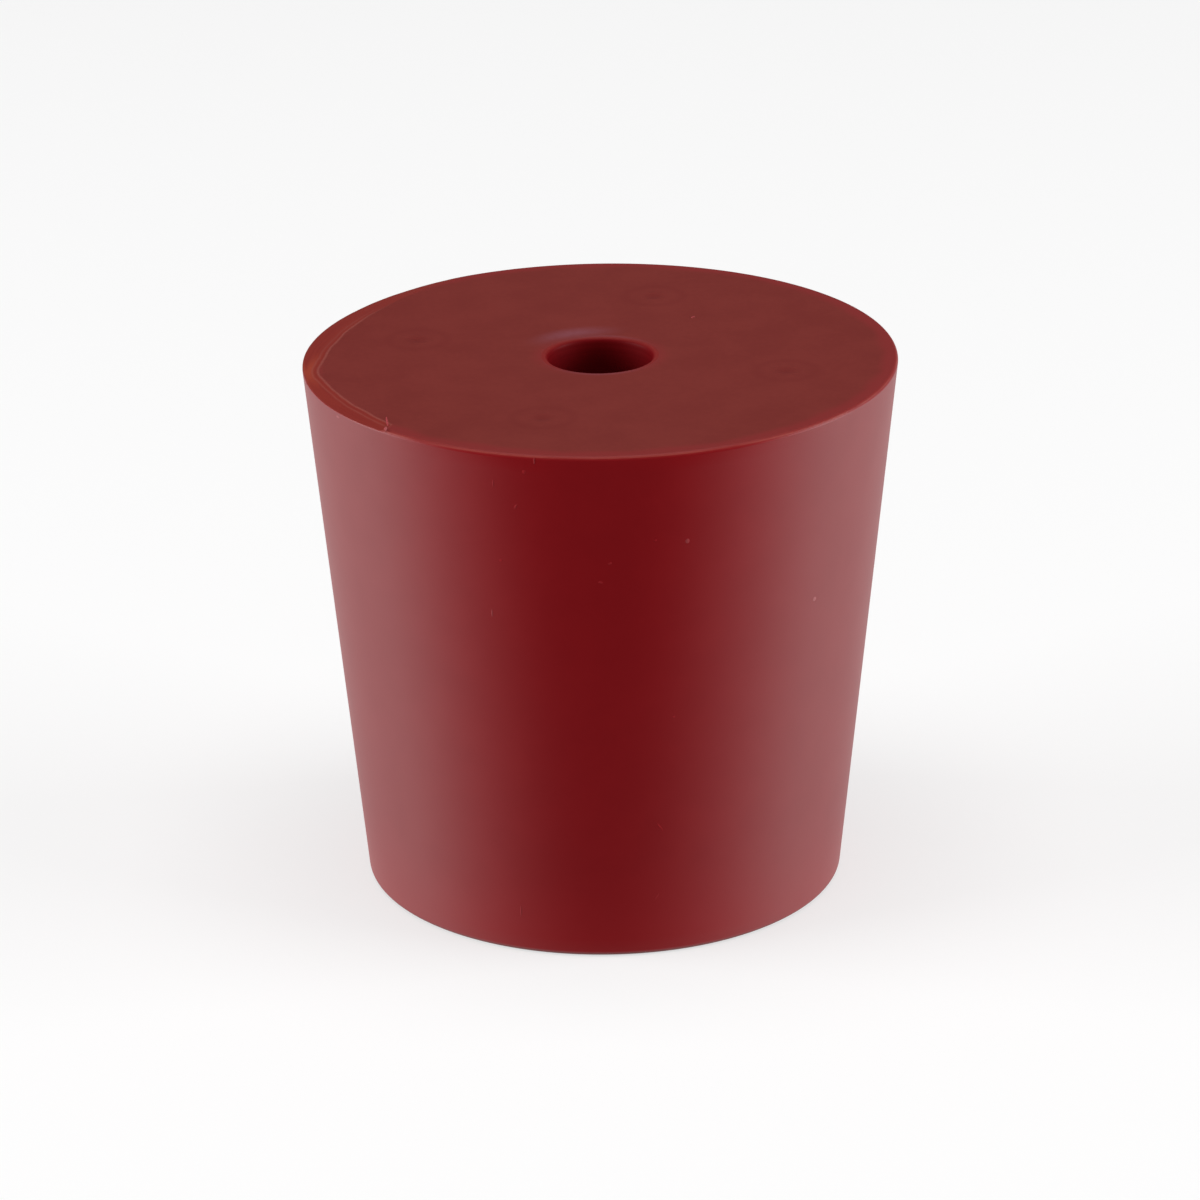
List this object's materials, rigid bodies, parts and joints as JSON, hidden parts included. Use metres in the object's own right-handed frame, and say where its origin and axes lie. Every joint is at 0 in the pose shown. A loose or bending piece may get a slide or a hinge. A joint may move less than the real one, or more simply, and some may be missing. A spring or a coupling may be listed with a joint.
{
  "type": "rubber stopper",
  "caption": "Solid tapered rubber stopper, wide end up, with a straight through hole along its axis that grips a glass tube while the taper seals a flask neck.",
  "frame": {"origin": "centre of the narrow bottom face, on the stopper's axis, at the level it stands on", "axes": "+Z along the axis from the narrow end to the wide end; the pared crescent of the top rim faces -X; -Y faces the picture's viewer"},
  "size_m": [0.038, 0.038, 0.035],
  "materials": {
    "red_rubber": "satin moulded rubber, deep red, with a dull bloom on the top face"
  },
  "bodies": {
    "root": {"stopper": "red_rubber"}
  },
  "joints": []
}
